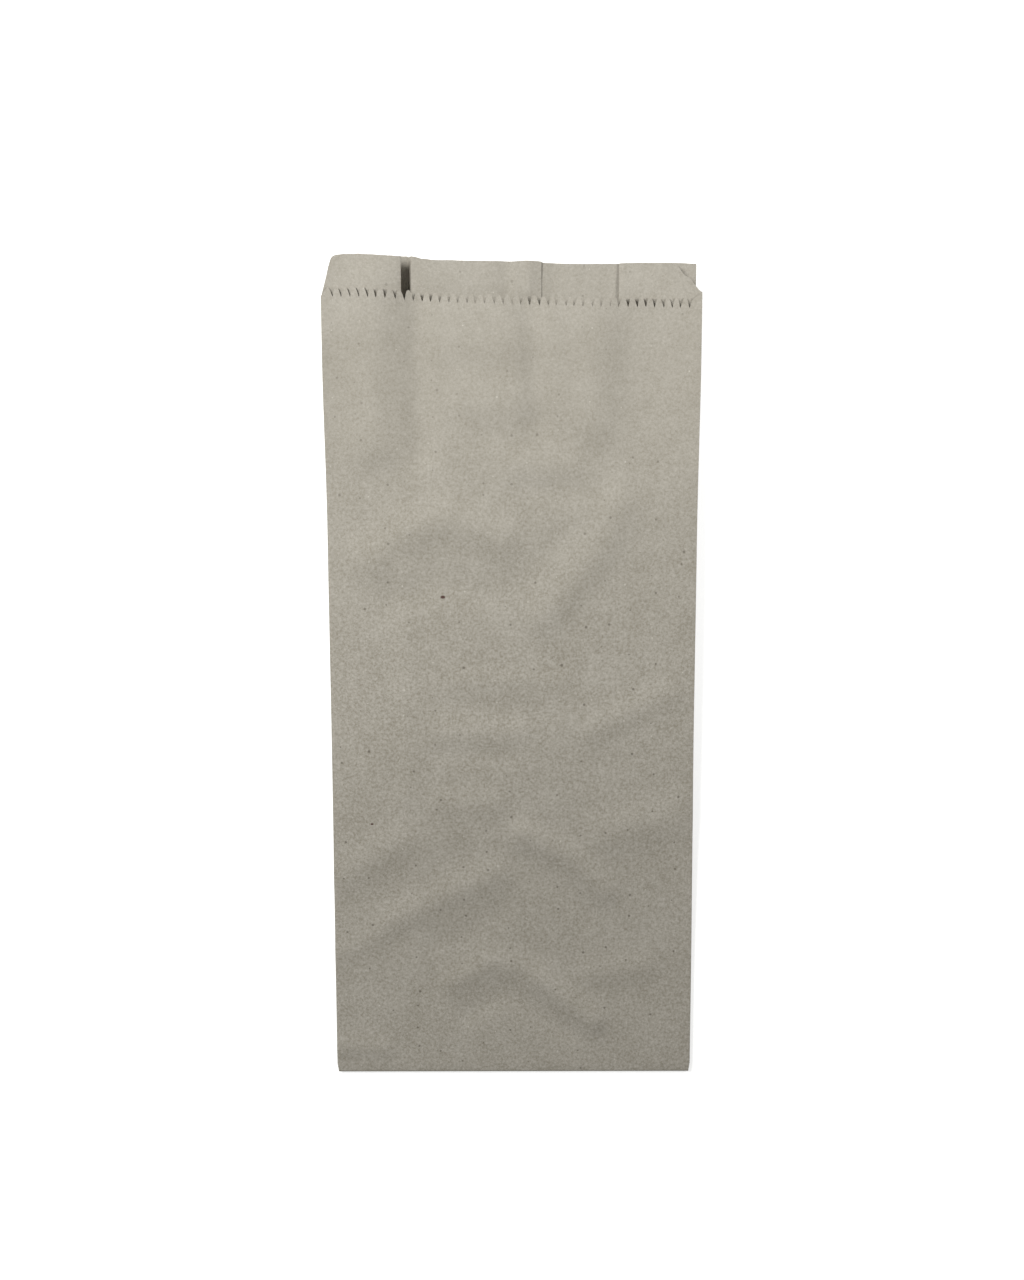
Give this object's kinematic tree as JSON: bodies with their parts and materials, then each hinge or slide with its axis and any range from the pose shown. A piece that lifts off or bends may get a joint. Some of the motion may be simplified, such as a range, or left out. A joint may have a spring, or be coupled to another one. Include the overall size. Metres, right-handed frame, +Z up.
{
  "type": "paper lunch bag",
  "caption": "Flat-folded kraft paper lunch bag with tucked side gussets, a serrated front edge below a taller back lip, a lapped back seam and a turned-over bottom.",
  "frame": {"origin": "centre of the bag's outline on the surface that its back lies on", "axes": "+X to the right across the front, +Y along the bag from the turned-over bottom to the mouth, +Z up out of the front panel"},
  "size_m": [0.1302, 0.2936, 0.0115],
  "materials": {
    "kraft_paper": "matt recycled kraft with fibre flecks"
  },
  "bodies": {
    "root": {"paper_bag": "kraft_paper"}
  },
  "joints": []
}
